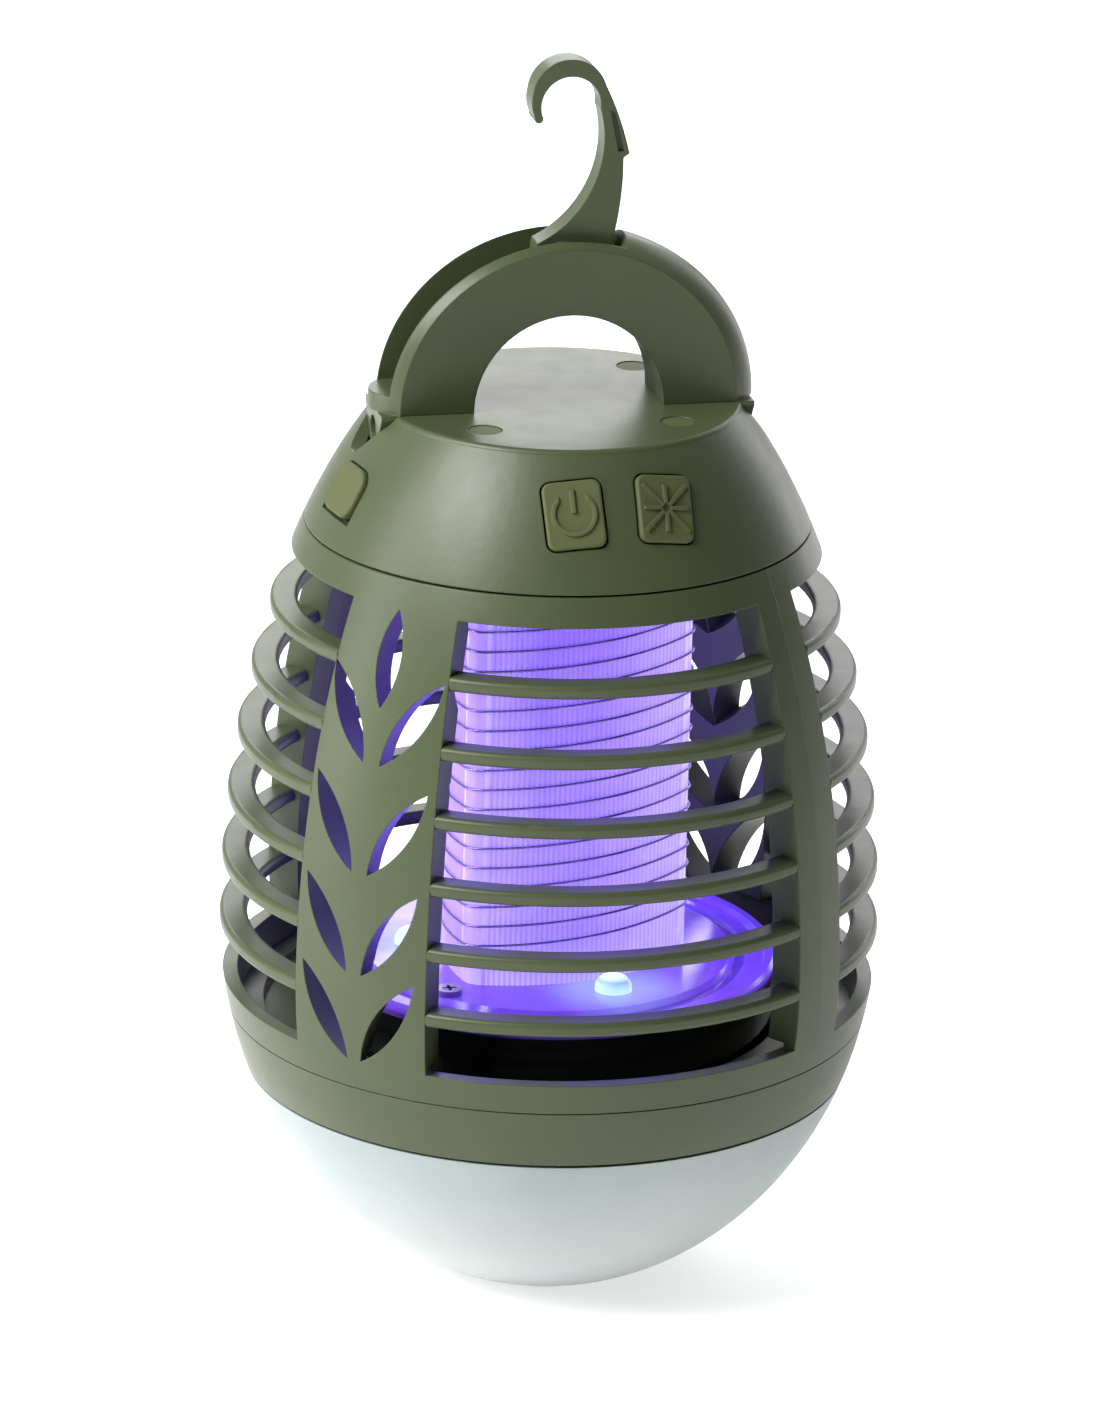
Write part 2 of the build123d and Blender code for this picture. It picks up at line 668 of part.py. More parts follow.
def wire_loops(name, first):
    """One pole of the live grid: level loops round the column, joined behind it."""
    with BuildPart() as piece:
        for i in range(WIRE_LOOPS):
            with BuildSketch(Plane.XY.offset(first + i * WIRE_PITCH - WIRE_R)):
                add(column_section(2 * WIRE_R + 0.05))
                add(column_section(0.05), mode=Mode.SUBTRACT)
            extrude(amount=2 * WIRE_R)
    save(piece.part, name)


wire_loops("live_wire_a", WIRE_LOW)
wire_loops("live_wire_b", WIRE_LOW + WIRE_PITCH / 2)

with BuildPart() as battery:
    with BuildSketch(Plane.XY.offset(35.2)):
        Circle(9.15)
    extrude(amount=64.0)
    fillet(battery.edges(), 0.8)
    with BuildSketch(Plane.XY.offset(99.2)):
        Circle(3.0)
    extrude(amount=0.9)
save(battery.part, "battery")

STRIP_SPOTS = (60.0, 180.0, 300.0)     # turned from the column's corners


def strip_plane(turn, distance, z):
    """Plane facing out of the middle of one side of the column."""
    angle = radians(COLUMN_TURN + turn)
    return Plane(origin=(distance * cos(angle), distance * sin(angle), z),
                 x_dir=(-sin(angle), cos(angle), 0), z_dir=(cos(angle), sin(angle), 0))


with BuildPart() as uv_strips:
    for turn in STRIP_SPOTS:
        with BuildSketch(strip_plane(turn, 9.6, 74.0)):
            Rectangle(9.0, 54.0)
        extrude(amount=1.0)
save(uv_strips.part, "uv_strips")

with BuildPart() as uv_chips:
    for turn in STRIP_SPOTS:
        with BuildSketch(strip_plane(turn, 10.6, 74.0)):
            with GridLocations(0, 8.0, 1, 6):
                Rectangle(2.8, 3.5)
        extrude(amount=0.9)
save(uv_chips.part, "uv_chips")

# ---- dish, drum and lantern light ---------------------------------------
DISH_LOW = 43.2
DISH_LED_AZIMUTHS = (16.0, 136.0, 256.0)
DISH_SCREW_AZIMUTHS = (73.0, 193.0, 313.0)
DISH_LED_R = 18.6
DISH_LED_TOP = 46.9
DISH_SCREW_R = 23.6

with BuildPart() as dish:
    with BuildSketch(Plane.XZ):
        with BuildLine():
            Polyline((9.6, DISH_LOW), (DISH_R, DISH_LOW), (DISH_R, 44.6), (DISH_R - 0.5, 45.1),
                     (30.0, 45.1), (29.6, 44.3), (27.4, 44.3), (27.0, 43.9), (25.8, 43.9),
                     (25.2, COLUMN_LOW), (9.6, COLUMN_LOW), close=True)
        make_face()
    revolve(axis=Axis.Z)
    with BuildSketch(Plane.XY.offset(COLUMN_LOW)):
        for azimuth in DISH_LED_AZIMUTHS:
            with Locations(at(azimuth, DISH_LED_R)):
                Circle(2.6)
        for azimuth in DISH_SCREW_AZIMUTHS:
            with Locations(at(azimuth, DISH_SCREW_R)):
                Circle(1.1)
    extrude(amount=-4.0, mode=Mode.SUBTRACT)
save(dish.part, "dish")

with BuildPart() as dish_leds:
    with BuildSketch(Plane.XY.offset(DISH_LOW + 0.2)):
        for azimuth in DISH_LED_AZIMUTHS:
            with Locations(at(azimuth, DISH_LED_R)):
                Circle(2.5)
    extrude(amount=DISH_LED_TOP - DISH_LOW - 0.2)
    fillet(dish_leds.edges().group_by(Axis.Z)[-1], 1.6)
save(dish_leds.part, "dish_leds")

with BuildPart() as dish_screws:
    with BuildSketch(Plane.XY.offset(COLUMN_LOW)):
        for azimuth in DISH_SCREW_AZIMUTHS:
            with Locations(at(azimuth, DISH_SCREW_R)):
                Circle(1.75)
                Rectangle(2.0, 0.4, mode=Mode.SUBTRACT)
                Rectangle(0.4, 2.0, mode=Mode.SUBTRACT)
    extrude(amount=0.9)
    with BuildSketch(Plane.XY.offset(COLUMN_LOW)):
        for azimuth in DISH_SCREW_AZIMUTHS:
            with Locations(at(azimuth, DISH_SCREW_R)):
                Circle(1.0)
    extrude(amount=-8.5)
save(dish_screws.part, "dish_screws")

SHELF_LOW = 33.2
with BuildPart() as drum:
    with BuildSketch(Plane.XZ):
        with BuildLine():
            Polyline((0, SHELF_LOW), (29.7, SHELF_LOW), (29.7, DRUM_LOW), (DRUM_R, DRUM_LOW),
                     (DRUM_R, DISH_LOW), (29.7, DISH_LOW), (29.7, SHELF_LOW + 1.8),
                     (0, SHELF_LOW + 1.8), close=True)
        make_face()
    revolve(axis=Axis.Z)
    with BuildSketch(Plane.XY.offset(SHELF_LOW + 1.8)):
        for azimuth in DISH_SCREW_AZIMUTHS:
            with Locations(at(azimuth, DISH_SCREW_R)):
                Circle(2.6)
                Circle(1.05, mode=Mode.SUBTRACT)
    extrude(amount=DISH_LOW - SHELF_LOW - 1.8)
save(drum.part, "drum")

with BuildPart() as lantern_board:
    with BuildSketch(Plane.XY.offset(SHELF_LOW - 1.5)):
        Circle(29.4)
    extrude(amount=1.4)
save(lantern_board.part, "lantern_board")

with BuildPart() as lantern_chips:
    with BuildSketch(Plane.XY.offset(SHELF_LOW - 1.5)):
        with PolarLocations(21.0, 12):
            Rectangle(2.8, 3.5)
        with PolarLocations(10.0, 6):
            Rectangle(2.8, 3.5)
    extrude(amount=-0.8)
save(lantern_chips.part, "lantern_chips")
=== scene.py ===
# %% [markdown]
# # A camping bug zapper, dressed for its portrait
# The lantern is an olive egg with a caged middle, a milky foot and a folding hook. The CAD model
# already holds every solid at its true size, so its pieces keep their shape and are given
# finishes here. Only the glowing column and its two live wires are built again, because their
# fine flutes and their winding are too small to be worth drawing as solids.
#
# We start by loading the fixed frame that everything must fit.

# %% Load the frame
import json
from math import cos, pi, radians, sin, sqrt

import bpy
from mathutils import Matrix, Vector


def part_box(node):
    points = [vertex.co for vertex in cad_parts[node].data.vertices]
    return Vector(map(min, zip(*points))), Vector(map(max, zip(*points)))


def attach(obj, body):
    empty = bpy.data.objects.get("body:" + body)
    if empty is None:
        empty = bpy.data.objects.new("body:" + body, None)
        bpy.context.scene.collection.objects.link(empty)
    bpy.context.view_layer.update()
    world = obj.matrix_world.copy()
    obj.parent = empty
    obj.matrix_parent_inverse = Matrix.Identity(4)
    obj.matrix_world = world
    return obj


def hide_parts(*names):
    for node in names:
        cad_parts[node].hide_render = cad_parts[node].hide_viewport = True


MM = 0.001
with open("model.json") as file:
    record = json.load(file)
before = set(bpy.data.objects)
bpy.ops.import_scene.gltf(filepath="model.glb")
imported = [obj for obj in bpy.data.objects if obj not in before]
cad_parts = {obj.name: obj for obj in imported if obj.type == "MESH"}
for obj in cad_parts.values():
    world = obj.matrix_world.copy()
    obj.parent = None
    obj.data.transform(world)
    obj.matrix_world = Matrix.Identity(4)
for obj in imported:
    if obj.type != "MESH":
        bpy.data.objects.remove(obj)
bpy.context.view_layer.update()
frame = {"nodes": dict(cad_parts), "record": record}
nodes = frame["nodes"]

# %% [markdown]
# ## Camera
# A product portrait is taken from some way off with a long lens, so that the egg keeps its
# outline and the level slats bend only a little. We could aim a camera with a constraint, but
# four turns and a shift say the same thing openly: swing round the lantern, look down, roll,
# and step back from the middle of the flat top.

# %% Camera
ELEVATION = radians(18.98)
ROLL = radians(1.29)
SWING = radians(13.0)
DISTANCE = 1.07577
LENS = 202.5
SENSOR = 36.0
CAP_TOP = 123.6 * MM
AIM_RIGHT = 1.36 * MM
AIM_UP = 42.18 * MM


def place_camera():
    """Sets the camera back from the flat top, turned by swing, elevation and roll."""
    data = bpy.data.cameras.new("camera")
    data.lens, data.sensor_width, data.sensor_fit = LENS, SENSOR, "AUTO"
    data.clip_start, data.clip_end = 0.05, 10.0
    camera = bpy.data.objects.new("camera", data)
    bpy.context.scene.collection.objects.link(camera)
    swing = Matrix.Rotation(-SWING, 3, "Z")
    tilt = Matrix.Rotation(pi / 2 - ELEVATION, 3, "X")
    roll = Matrix.Rotation(ROLL, 3, "Z")
    axes = swing @ tilt @ roll
    shift = Vector((-AIM_RIGHT, -AIM_UP, DISTANCE))
    place = Vector((0, 0, CAP_TOP)) + axes @ shift
    camera.matrix_world = Matrix.Translation(place) @ axes.to_4x4()
    bpy.context.scene.camera = camera
    return camera


camera = place_camera()
print("camera at", [round(v, 3) for v in camera.location])

# %% [markdown]
# ## Small parts for the finishes
# No real surface has one flat colour or one flat gloss. We could paint that variation on an
# image, but noise made from the object's own coordinates needs no unwrapping, never repeats,
# and moves with the piece when a joint turns. These first helpers make a material, a noise, and
# a noise stretched to the range we want.

# %% Material, noise and range
def new_material(name):
    """A fresh material, its node tree and its main shader."""
    material = bpy.data.materials.new(name)
    material.use_nodes = True
    tree = material.node_tree
    return material, tree, tree.nodes["Principled BSDF"]


def noise(tree, scale, detail=3.0):
    """Noise in the object's own coordinates."""
    place = tree.nodes.new("ShaderNodeTexCoord")
    texture = tree.nodes.new("ShaderNodeTexNoise")
    texture.inputs["Scale"].default_value = scale
    texture.inputs["Detail"].default_value = detail
    tree.links.new(place.outputs["Object"], texture.inputs["Vector"])
    return texture.outputs["Fac"]


def remapped(tree, value, source, target):
    """Maps a value from the range source to the range target."""
    remap = tree.nodes.new("ShaderNodeMapRange")
    remap.inputs["From Min"].default_value, remap.inputs["From Max"].default_value = source
    remap.inputs["To Min"].default_value, remap.inputs["To Max"].default_value = target
    tree.links.new(value, remap.inputs["Value"])
    return remap.outputs["Result"]


NOISE_MIDDLE = (0.3, 0.7)


def spread(tree, value, low, high):
    """Maps the middle of a noise, where nearly all of it lies, to the range low to high."""
    return remapped(tree, value, NOISE_MIDDLE, (low, high))


print("noise is used from", NOISE_MIDDLE[0], "to", NOISE_MIDDLE[1])

# %% [markdown]
# Next come the helpers that join colours and raise the grain. The Bevel node rounds the normal
# near an edge: moulded edges always have a small radius, and that radius is what catches the
# light. Cutting it into every slat would make the meshes many times heavier.

# %% Colours and bump
EDGE_SAMPLES = 6


def blend_colours(tree, factor, first, second):
    """Mixes two colours, each a tuple or a socket, by a factor socket."""
    mix = tree.nodes.new("ShaderNodeMix")
    mix.data_type = "RGBA"
    tree.links.new(factor, mix.inputs["Factor"])
    for socket, colour in ((mix.inputs[6], first), (mix.inputs[7], second)):
        if isinstance(colour, tuple):
            socket.default_value = (*colour, 1)
        else:
            tree.links.new(colour, socket)
    return mix.outputs[2]


def mottled(tree, scale, colour, darker):
    """Two close tones of one colour, clouded into each other."""
    return blend_colours(tree, spread(tree, noise(tree, scale), 0.0, 1.0), colour, darker)


def ramp(tree, value, stops):
    """Colour ramp through (position, colour) stops."""
    node = tree.nodes.new("ShaderNodeValToRGB")
    elements = node.color_ramp.elements
    while len(elements) < len(stops):
        elements.new(0.5)
    for element, (place, colour) in zip(elements, stops):
        element.position, element.color = place, (*colour, 1)
    tree.links.new(value, node.inputs["Fac"])
    return node.outputs["Color"]


def bumpy(tree, shader, height, strength, distance, edge=0.0):
    """Fine bump, laid over a rounded-edge normal if edge is given."""
    bump = tree.nodes.new("ShaderNodeBump")
    bump.inputs["Strength"].default_value = strength
    bump.inputs["Distance"].default_value = distance
    tree.links.new(height, bump.inputs["Height"])
    if edge:
        soft = tree.nodes.new("ShaderNodeBevel")
        soft.samples = EDGE_SAMPLES
        soft.inputs["Radius"].default_value = edge
        tree.links.new(soft.outputs["Normal"], bump.inputs["Normal"])
    tree.links.new(bump.outputs["Normal"], shader.inputs["Normal"])


print("edge samples:", EDGE_SAMPLES)

# %% [markdown]
# ## Moulded plastic and rubber
# The shell is injection moulded in a spark-eroded tool, which leaves a satin skin: a broad soft
# highlight with a very fine grain in it. The same recipe serves the silicone keys, with more
# roughness and a finer grain, and the glossy black drum, with a clear coat.

# %% Moulded finish
MOULD_EDGE = 0.25 * MM
MOULD_TONE = 55
MOULD_GLOSS = 260
MOULD_GRAIN_DEPTH = 0.08 * MM


def moulded(name, colour, darker, roughness, grain=900, edge=MOULD_EDGE, coat=0.0, shine=0.5):
    """Moulded plastic or rubber: two close tones, wandering gloss and a fine grain."""
    material, tree, shader = new_material(name)
    tree.links.new(mottled(tree, MOULD_TONE, colour, darker), shader.inputs["Base Color"])
    gloss = spread(tree, noise(tree, MOULD_GLOSS), roughness - 0.02, roughness + 0.02)
    tree.links.new(gloss, shader.inputs["Roughness"])
    bumpy(tree, shader, noise(tree, grain, 4.0), 0.25, MOULD_GRAIN_DEPTH, edge)
    shader.inputs["Specular IOR Level"].default_value = shine
    shader.inputs["Coat Weight"].default_value = coat
    return material


print("moulded edges look", MOULD_EDGE / MM, "mm round")

# %% [markdown]
# ## Metal
# Screws are plated and wires are drawn, so neither is a mirror. The roughness wanders more than
# it does on plastic, which gives the handling marks that tell the eye it is metal.

# %% Metal finish
METAL_MARK_DEPTH = 0.03 * MM


def metal(name, colour, darker, roughness, grain):
    """Plated or drawn metal with faint handling marks."""
    material, tree, shader = new_material(name)
    tree.links.new(mottled(tree, grain, colour, darker), shader.inputs["Base Color"])
    gloss = spread(tree, noise(tree, 2 * grain), roughness - 0.06, roughness + 0.08)
    tree.links.new(gloss, shader.inputs["Roughness"])
    shader.inputs["Metallic"].default_value = 1.0
    bumpy(tree, shader, noise(tree, 3 * grain), 0.2, METAL_MARK_DEPTH)
    return material


print("metal marks are", METAL_MARK_DEPTH / MM, "mm deep")

# %% [markdown]
# ## Where on the piece
# The glow of the column changes round it and up it, because the lamps inside sit in strips. To
# follow that we need two measures from the object's own coordinates: the turn round the upright
# axis and the height, each as a value from 0 to 1.

# %% Turn, height and product
def coordinate(tree, axis):
    """One of the object's own coordinates."""
    place = tree.nodes.new("ShaderNodeTexCoord")
    split = tree.nodes.new("ShaderNodeSeparateXYZ")
    tree.links.new(place.outputs["Object"], split.inputs["Vector"])
    return split.outputs[axis]


def worked_out(tree, operation, first, second):
    """Result of a sum on two values, each a number or a socket."""
    node = tree.nodes.new("ShaderNodeMath")
    node.operation = operation
    for socket, value in zip(node.inputs, (first, second)):
        if isinstance(value, float):
            socket.default_value = value
        else:
            tree.links.new(value, socket)
    return node.outputs[0]


def round_the_axis(tree):
    """Turn round the Z axis: 0.5 at the front, and 0 or 1 at the rear."""
    forward = worked_out(tree, "MULTIPLY", coordinate(tree, "Y"), -1.0)
    turn = worked_out(tree, "ARCTAN2", coordinate(tree, "X"), forward)
    return remapped(tree, turn, (-pi, pi), (0.0, 1.0))


def height_share(tree, low, high):
    """Height as a value from 0 at low to 1 at high."""
    return remapped(tree, coordinate(tree, "Z"), (low, high), (0.0, 1.0))


print("turn and height helpers ready")

# %% [markdown]
# ## Plastic that glows
# The column and the dish are clear violet plastic with lamps behind or around them. Real
# scattering would need thick solids, many light bounces and a long render. A surface that gives
# off its own coloured light, under the same gloss as any plastic, looks the same at this
# distance and stays the same from every side.

# %% Glowing finish
GLOW_TONE = 80
GLOW_GLOSS = 120
GLOW_GRAIN = 300
GLOW_GRAIN_DEPTH = 0.06 * MM


def glowing(name, colour, stops, along, strength, roughness, also=None):
    """Plastic lit from behind: its own gloss plus light whose colour follows a ramp.

    also(tree, colour, strength) may return a changed pair for one more effect.
    """
    material, tree, shader = new_material(name)
    darker = tuple(0.8 * c for c in colour)
    tree.links.new(mottled(tree, GLOW_TONE, colour, darker), shader.inputs["Base Color"])
    glow = ramp(tree, along(tree), stops)
    power = spread(tree, noise(tree, GLOW_GRAIN), 0.9 * strength, 1.1 * strength)
    if also:
        glow, power = also(tree, glow, power)
    tree.links.new(glow, shader.inputs["Emission Color"])
    tree.links.new(power, shader.inputs["Emission Strength"])
    tree.links.new(spread(tree, noise(tree, GLOW_GLOSS), roughness - 0.04, roughness + 0.04),
                   shader.inputs["Roughness"])
    bumpy(tree, shader, noise(tree, GLOW_GRAIN), 0.15, GLOW_GRAIN_DEPTH)
    return material


print("glow grain:", GLOW_GRAIN)

# %% [markdown]
# ## The column's extra glow
# Two things change the column's light, and both are painted. Its grooves get painted shade,
# darker than its flutes, so we read how deep each point lies in a groove; the mesh below stores
# that number. And the dish throws light back up, painted as a paler foot of the column than its
# head.

# %% Column glow
COLUMN_LOW, COLUMN_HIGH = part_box("uv_column")[0][2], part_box("uv_column")[1][2]
FLUTE_BRIGHT, GROOVE_PAINTED_SHADE = 1.06, 0.80
PALE_LAVENDER = (0.74, 0.62, 1.0)
PALE_RISE = [(0.0, (0.60,) * 3), (0.12, (0.30,) * 3), (0.45, (0.22,) * 3),
             (0.75, (0.10,) * 3), (1.0, (0.0,) * 3)]


def column_glow(tree, glow, power):
    """Painted shade in the grooves between the flutes, and painted dish light, paler near the
    dish.
    """
    groove = tree.nodes.new("ShaderNodeAttribute")
    groove.attribute_name = "groove"
    # Painted shade: the glow is dimmed in the grooves.
    shade = spread(tree, groove.outputs["Fac"], FLUTE_BRIGHT, GROOVE_PAINTED_SHADE)
    # Painted light from the dish: paler towards the column's foot.
    pale = ramp(tree, height_share(tree, COLUMN_LOW, COLUMN_HIGH), PALE_RISE)
    lighter = blend_colours(tree, pale, glow, PALE_LAVENDER)
    return lighter, worked_out(tree, "MULTIPLY", power, shade)


print("column from", round(COLUMN_LOW / MM, 1), "to", round(COLUMN_HIGH / MM, 1), "mm")

# %% [markdown]
# ## The dish's extra glow
# Three diodes stand in the dish, each in a pool of white-blue light. A real lamp over each one
# would need many samples to come out smooth, so the pool is painted by distance from the diode.
# Where the diodes stand is read from their own mesh: each one is the middle of a small flat
# crown, the highest points of the piece. The dish's outer wall, which sits on the black drum,
# stays dark.

# %% Dish glow
DISH_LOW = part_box("dish")[0][2]
DISH_DARK_WALL = 1.7 * MM
POOL_REACH = (1.5 * MM, 13.0 * MM)
POOL_STRENGTH = (0.85, 0.0)
POOL_BLUE = (0.50, 0.72, 1.0)
WALL_RISE = [(0.3, (0.02,) * 3), (0.6, (1.0,) * 3)]
CROWN_DEPTH = 0.01 * MM
CROWN_REACH = 6 * MM


def diode_spots():
    """Where the dish's three diodes stand: the middle of each crown of their mesh."""
    mesh = nodes["dish_leds"].data
    top = max(v.co.z for v in mesh.vertices)
    crowns = []
    for co in (v.co for v in mesh.vertices if v.co.z > top - CROWN_DEPTH):
        for crown in crowns:
            if (co - crown[0]).length < CROWN_REACH:
                crown.append(co)
                break
        else:
            crowns.append([co])
    return [sum(crown, Vector()) / len(crown) for crown in crowns]


def dish_glow(tree, glow, power):
    """A white-blue pool of light round each diode, and a dark outer wall."""
    place = tree.nodes.new("ShaderNodeTexCoord")
    for spot in diode_spots():
        reach = tree.nodes.new("ShaderNodeVectorMath")
        reach.operation = "DISTANCE"
        reach.inputs[1].default_value = spot
        tree.links.new(place.outputs["Object"], reach.inputs[0])
        pool = remapped(tree, reach.outputs["Value"], POOL_REACH, POOL_STRENGTH)
        pool.node.interpolation_type = "SMOOTHERSTEP"
        glow = blend_colours(tree, pool, glow, POOL_BLUE)
    lit = ramp(tree, height_share(tree, DISH_LOW, DISH_LOW + DISH_DARK_WALL), WALL_RISE)
    return glow, worked_out(tree, "MULTIPLY", power, lit)


print("diodes at", [[round(c / MM, 1) for c in spot] for spot in diode_spots()])

# %% [markdown]
# ## The milky lens
# The foot is a frosted shade with a lamp inside that is off. Its colour carries painted shade,
# blue-grey under the ring where the shell shades it, and painted floor light, paler towards the
# ground. A half-clear material would be nearer to the real thing, but it would show the guessed
# boards inside, so the shade is opaque and its colour changes with height.

# %% Lens finish
LENS_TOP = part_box("base_ring")[0][2]
# Painted shade under the ring and painted floor light towards the foot, set by height.
LENS_SHADE_AND_FLOOR_LIGHT = [(0.0, (0.42, 0.44, 0.44)), (0.35, (0.34, 0.37, 0.366)), (0.8, (0.27, 0.312, 0.307)),
             (1.0, (0.245, 0.287, 0.281))]
LENS_CLOUD = (0.9, 0.9, 0.9)
LENS_GRAIN_DEPTH = 0.06 * MM


def milky(name):
    """Frosted lens: painted shade, blue-grey where the shell shades it; painted floor light,
    paler towards the foot.
    """
    material, tree, shader = new_material(name)
    skin = ramp(tree, height_share(tree, 0.0, LENS_TOP), LENS_SHADE_AND_FLOOR_LIGHT)
    cloud = blend_colours(tree, spread(tree, noise(tree, 40), 0.0, 0.06), skin, LENS_CLOUD)
    tree.links.new(cloud, shader.inputs["Base Color"])
    tree.links.new(spread(tree, noise(tree, 150), 0.40, 0.50), shader.inputs["Roughness"])
    shader.inputs["Specular IOR Level"].default_value = 0.3
    bumpy(tree, shader, noise(tree, 700, 4.0), 0.2, LENS_GRAIN_DEPTH, MOULD_EDGE)
    return material


print("lens shows up to", round(LENS_TOP / MM, 1), "mm")

# %% [markdown]
# ## The moulded finishes
# Olive for the shell, a deeper olive for the plate and collar inside, a warmer and duller olive
# for the silicone keys, cover and plugs. Blacks are never quite black, or they lose their shape.

# %% Moulded finishes
finishes = {
    "green_plastic": moulded("olive_plastic", (0.050, 0.064, 0.028), (0.044, 0.057, 0.025), 0.38,
                             shine=0.3),
    "dark_green_plastic": moulded("deep_olive_plastic", (0.038, 0.045, 0.024),
                                  (0.033, 0.040, 0.021), 0.42, shine=0.3),
    "green_rubber": moulded("olive_silicone", (0.070, 0.078, 0.030), (0.062, 0.070, 0.027), 0.60,
                            grain=1400, shine=0.22),
    "black_rubber": moulded("black_silicone", (0.012, 0.012, 0.013), (0.008, 0.008, 0.009), 0.6),
    "black_plastic": moulded("black_gloss_plastic", (0.008, 0.008, 0.010),
                             (0.005, 0.005, 0.007), 0.18, grain=300, coat=0.4),
    "white_lens": milky("milky_lens"),
}
print("moulded finishes:", len(finishes))

# %% [markdown]
# ## The glowing finishes
# Each ramp runs once round the lantern, with the front at 0.5. The column is deep violet on its
# left side and turns to lavender at its right-hand post, where a strip of lamps shines through.
# The diodes are lit along their height: a blue-white dome over a darker skirt.

# %% Glowing finishes
DIODE_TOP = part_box("dish_leds")[1][2]
DIODE_HEIGHT = 2.4 * MM


def diode_rise(tree):
    """Height up the diode's dome."""
    return height_share(tree, DIODE_TOP - DIODE_HEIGHT, DIODE_TOP)


finishes["violet_plastic"] = glowing(
    "violet_dish_plastic", (0.16, 0.06, 0.62),
    [(0.0, (0.10, 0.03, 0.75)), (0.5, (0.22, 0.09, 0.95)), (1.0, (0.12, 0.03, 0.80))],
    round_the_axis, 0.55, 0.16, also=dish_glow)
finishes["lavender_tube"] = glowing(
    "fluted_tube_plastic", (0.30, 0.18, 0.85),
    [(0.0, (0.20, 0.08, 0.95)), (0.34, (0.24, 0.12, 0.95)), (0.40, (0.32, 0.20, 0.97)),
     (0.45, (0.17, 0.07, 0.93)), (0.52, (0.19, 0.07, 0.95)), (0.58, (0.31, 0.17, 1.0)),
     (0.66, (0.50, 0.36, 1.0)), (1.0, (0.2, 0.08, 0.95))],
    round_the_axis, 0.8, 0.22, also=column_glow)
finishes["clear_plastic"] = glowing(
    "clear_post_plastic", (0.60, 0.50, 0.95),
    [(0.0, (0.20, 0.10, 0.95)), (0.45, (0.34, 0.22, 1.0)), (0.62, (0.58, 0.46, 1.0)),
     (1.0, (0.5, 0.4, 1.0))],
    round_the_axis, 0.75, 0.25)
finishes["led_dome"] = glowing(
    "lit_diode", (0.5, 0.75, 0.95),
    [(0.0, (0.55, 0.85, 1.0)), (0.55, (0.42, 0.66, 1.0)), (0.8, (0.20, 0.30, 0.85)),
     (1.0, (0.75, 0.95, 1.0))],
    diode_rise, 0.9, 0.1)
print("with the glowing ones:", len(finishes))

# %% [markdown]
# ## Metal and the pieces inside
# The live wires are bare steel; their violet colour is a painted reflection of the column's
# glow. The boards, the cell and the coil are hidden at rest, and some of them can be seen through
# the openings or when the head is lifted out, so each one has its true colour.

# %% Metal, boards and cell
# The wire's violet colour is a painted reflection of the glowing column.
finishes["steel_wire"] = metal("drawn_wire", (0.36, 0.28, 0.62), (0.26, 0.20, 0.50), 0.30, 900)
finishes["screw_steel"] = metal("plated_screw", (0.42, 0.42, 0.43), (0.33, 0.33, 0.34), 0.32, 700)
finishes["led_chip"] = moulded("diode_package", (0.80, 0.74, 0.42), (0.72, 0.66, 0.36), 0.3,
                               grain=700)
finishes["board_green"] = moulded("solder_mask", (0.015, 0.085, 0.030), (0.010, 0.065, 0.022),
                                  0.35, grain=500, coat=0.3)
finishes["cell_wrap"] = moulded("cell_wrap", (0.03, 0.10, 0.35), (0.02, 0.08, 0.30), 0.25,
                                grain=500, coat=0.3)
finishes["ferrite"] = moulded("ferrite", (0.03, 0.03, 0.034), (0.02, 0.02, 0.023), 0.7,
                              grain=1200)
print("all finishes:", len(finishes))

# %% [markdown]
# Every CAD piece names the finish it wants, in its material slot. So one loop dresses them all,
# and a new piece in the model would be dressed as well.

# %% Dress the CAD pieces
for piece in frame["record"]["subparts"]:
    mesh = nodes[piece["node"]].data
    mesh.materials.clear()
    mesh.materials.append(finishes[piece["material_slot"]])

# %% [markdown]
# ## The column's outline
# Seen from above, the column is a triangle with bulging sides and round corners, and a clear
# post stands in each corner. The outline is six arcs that meet smoothly: three small ones at
# the corners, and three large ones, each struck from the corner opposite its side. The fine
# upright flutes are a cosine wave on the large arcs only. Real geometry is used for them,
# because they show at the column's edge and they carry the painted shade of the grooves.

# %% Outline of the column
COLUMN_VERTEX = 15.67 * MM
COLUMN_GROW = 3.03 * MM
COLUMN_TURN = -17
FLUTE_PITCH = 0.72 * MM
FLUTE_DEPTH = 0.16 * MM
LEAST_STEPS = 8


def column_corner(turn):
    """Centre of the column's corner, turn degrees on from the first."""
    angle = radians(COLUMN_TURN + turn)
    return Vector((cos(angle), sin(angle))) * COLUMN_VERTEX


def column_outline(out, step, flute=0.0):
    """Points round the column, grown by out, and how deep in a groove each one lies."""
    points, grooves = [], []
    side_r = COLUMN_VERTEX * sqrt(3) + COLUMN_GROW
    for turn in (0, 120, 240):
        facing = COLUMN_TURN + turn
        arcs = ((column_corner(turn), COLUMN_GROW, facing - 30, 0.0),
                (column_corner(turn + 240), side_r, facing + 30, flute))
        for centre, radius, start, groove in arcs:
            length = radians(60) * radius
            count = max(LEAST_STEPS, int(length / step))
            waves = round(length / FLUTE_PITCH)
            for i in range(count):
                angle = radians(start + 60 * i / count)
                dent = groove * (0.5 - 0.5 * cos(2 * pi * waves * i / count))
                reach = radius + out - dent
                points.append(centre + Vector((cos(angle), sin(angle))) * reach)
                grooves.append(dent / flute if flute else 0.0)
    return points, grooves


STEP = FLUTE_PITCH / 6
fluted, grooves = column_outline(0.0, STEP, FLUTE_DEPTH)
print("points round the column:", len(fluted))

# %% [markdown]
# ## The column's wall
# The column is a plain upright wall over that outline. Its ends are hidden in the collar and
# in the dish, so it needs no lids. The depth of the groove is stored on each point for the
# finish to read.

# %% Column
COLUMN_LEVELS = 12


